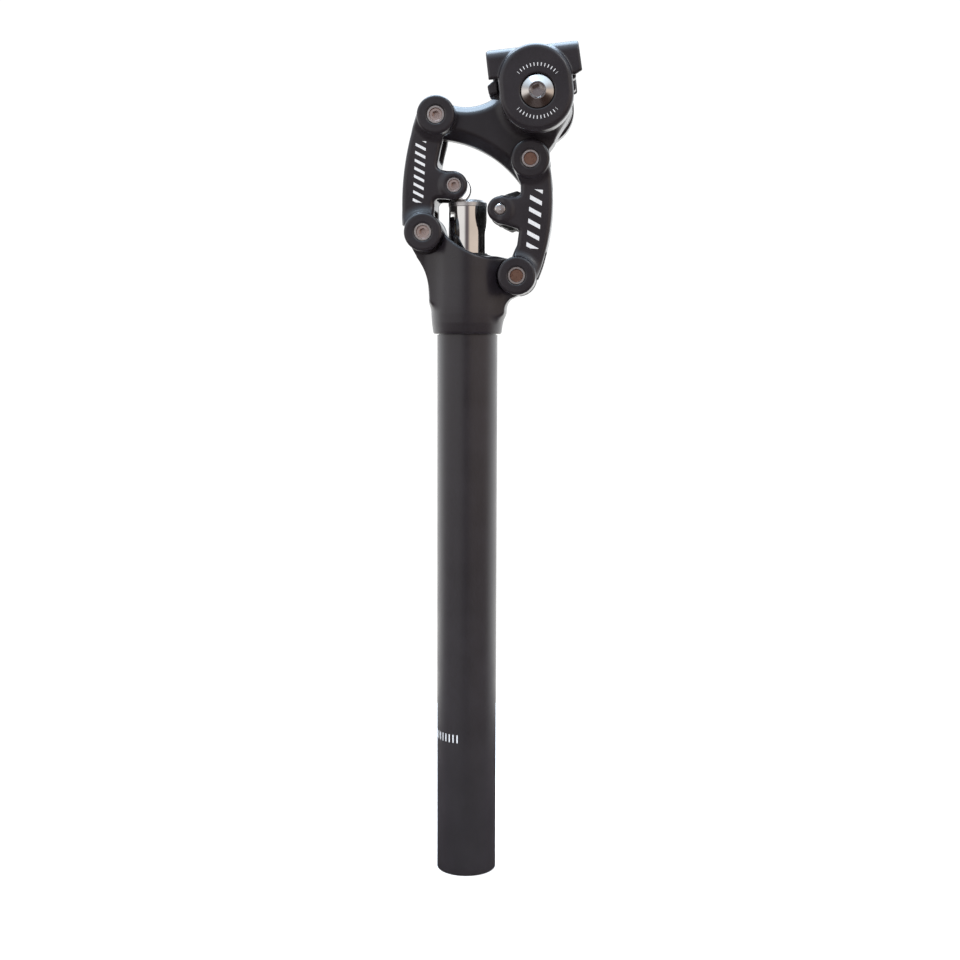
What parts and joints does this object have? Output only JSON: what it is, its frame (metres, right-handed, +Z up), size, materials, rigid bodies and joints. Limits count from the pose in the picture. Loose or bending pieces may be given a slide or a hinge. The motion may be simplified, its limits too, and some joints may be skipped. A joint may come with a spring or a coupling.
{
  "type": "suspension seatpost",
  "caption": "Parallelogram suspension seatpost: round post, forged heads joined by forked links, sprung piston under a roller, tilting two-rail saddle clamp.",
  "frame": {"origin": "on the post tube's axis, at its bottom end", "axes": "+Z up the tube, +X to the rear of the bicycle, Y across; the picture looks along +Y"},
  "size_m": [0.0787, 0.0618, 0.3725],
  "materials": {
    "tube_black": "satin black anodised",
    "forged_black": "satin black anodised forging",
    "link_black": "satin black anodised forging",
    "jaw_black": "satin black anodised",
    "axle_steel": "turned, bright",
    "screw_brown": "bronzed",
    "bolt_steel": "polished stainless",
    "chrome": "hard chrome",
    "cap_steel": "satin grey",
    "spring_steel": "oiled",
    "bronze": "sintered",
    "rubber_black": "matte",
    "elastomer_green": "matte",
    "plastic_black": "moulded"
  },
  "bodies": {
    "post": {"post_tube": "tube_black", "lower_head": "forged_black", "guide_bush": "bronze", "wiper_seal": "rubber_black", "top_out_ring": "rubber_black", "lower_pivot_bushes": "bronze", "coil_spring": "spring_steel"},
    "piston": {"piston_tube": "chrome", "piston_cap": "cap_steel", "piston_foot": "cap_steel"},
    "front_link": {"front_link": "link_black", "front_lower_axle": "axle_steel", "front_upper_axle": "axle_steel", "roller_axle": "axle_steel", "front_axle_screws": "screw_brown"},
    "roller": {"roller": "axle_steel", "roller_bush": "bronze"},
    "rear_link": {"rear_link": "link_black", "rear_lower_axle": "axle_steel", "rear_upper_axle": "axle_steel", "rear_axle_screws": "screw_brown", "bumper_pin": "axle_steel", "bottom_out_bumper": "rubber_black"},
    "head": {"upper_head": "forged_black", "upper_pivot_bushes": "bronze"},
    "cradle": {"inner_jaw_near": "forged_black", "inner_jaw_far": "forged_black"},
    "near_jaw": {"outer_jaw_near": "jaw_black"},
    "far_jaw": {"outer_jaw_far": "jaw_black", "clamp_nut": "bolt_steel"},
    "bolt": {"clamp_bolt": "bolt_steel"},
    "spring_seat": {"spring_seat": "plastic_black", "elastomer_core": "elastomer_green"},
    "preload_plug": {"preload_plug": "plastic_black"}
  },
  "joints": [
    {"name": "front_link_swing", "type": "hinge", "parent": "post", "child": "front_link", "pos_m": [-0.01868, 0, 0.29263], "axis": [0, 1, 0], "range_deg": [0, 59], "stiffness_Nm_per_rad": 30, "springref_deg": -11.46},
    {"name": "rear_link_swing", "type": "hinge", "parent": "post", "child": "rear_link", "pos_m": [0.02264, 0, 0.27364], "axis": [0, 1, 0], "range_deg": [0, 59]},
    {"name": "head_pivot", "type": "hinge", "parent": "front_link", "child": "head", "pos_m": [-0.01295, 0, 0.34307], "axis": [0, 1, 0], "range_deg": [-59, 0]},
    {"name": "piston_slide", "type": "slide", "parent": "post", "child": "piston", "axis": [0, 0, -1], "range_m": [0, 0.0215], "deforming": ["coil_spring"]},
    {"name": "roller_spin", "type": "hinge", "parent": "front_link", "child": "roller", "pos_m": [-0.00512, 0, 0.31306], "axis": [0, 1, 0], "continuous": true},
    {"name": "saddle_tilt", "type": "hinge", "parent": "head", "child": "cradle", "pos_m": [0.0316, 0, 0.3507], "axis": [0, 1, 0], "range_deg": [-20, 20]},
    {"name": "clamp_bolt_turn", "type": "hinge", "parent": "near_jaw", "child": "bolt", "pos_m": [0.0316, 0, 0.3507], "axis": [0, -1, 0], "range_deg": [0, 1800]},
    {"name": "near_jaw_slide", "type": "slide", "parent": "cradle", "child": "near_jaw", "axis": [0, -1, 0], "range_m": [0, 0.00313]},
    {"name": "far_jaw_slide", "type": "slide", "parent": "cradle", "child": "far_jaw", "axis": [0, 1, 0], "range_m": [0, 0.00313]},
    {"name": "preload_turn", "type": "hinge", "parent": "spring_seat", "child": "preload_plug", "pos_m": [0, 0, 0.016], "axis": [0, 0, 1], "range_deg": [0, 1800]},
    {"name": "preload_travel", "type": "slide", "parent": "post", "child": "spring_seat", "axis": [0, 0, 1], "range_m": [0, 0.0075]}
  ],
  "couplings": [
    {"joint": "rear_link_swing", "follows": "front_link_swing", "ratio": 1},
    {"joint": "head_pivot", "follows": "front_link_swing", "ratio": -1},
    {"joint": "piston_slide", "follows": "front_link_swing", "m_per_rad": 0.020878},
    {"joint": "clamp_bolt_turn", "follows": "near_jaw_slide", "rad_per_m": 10053},
    {"joint": "far_jaw_slide", "follows": "near_jaw_slide", "ratio": 1},
    {"joint": "preload_turn", "follows": "preload_travel", "rad_per_m": 4188.7}
  ]
}
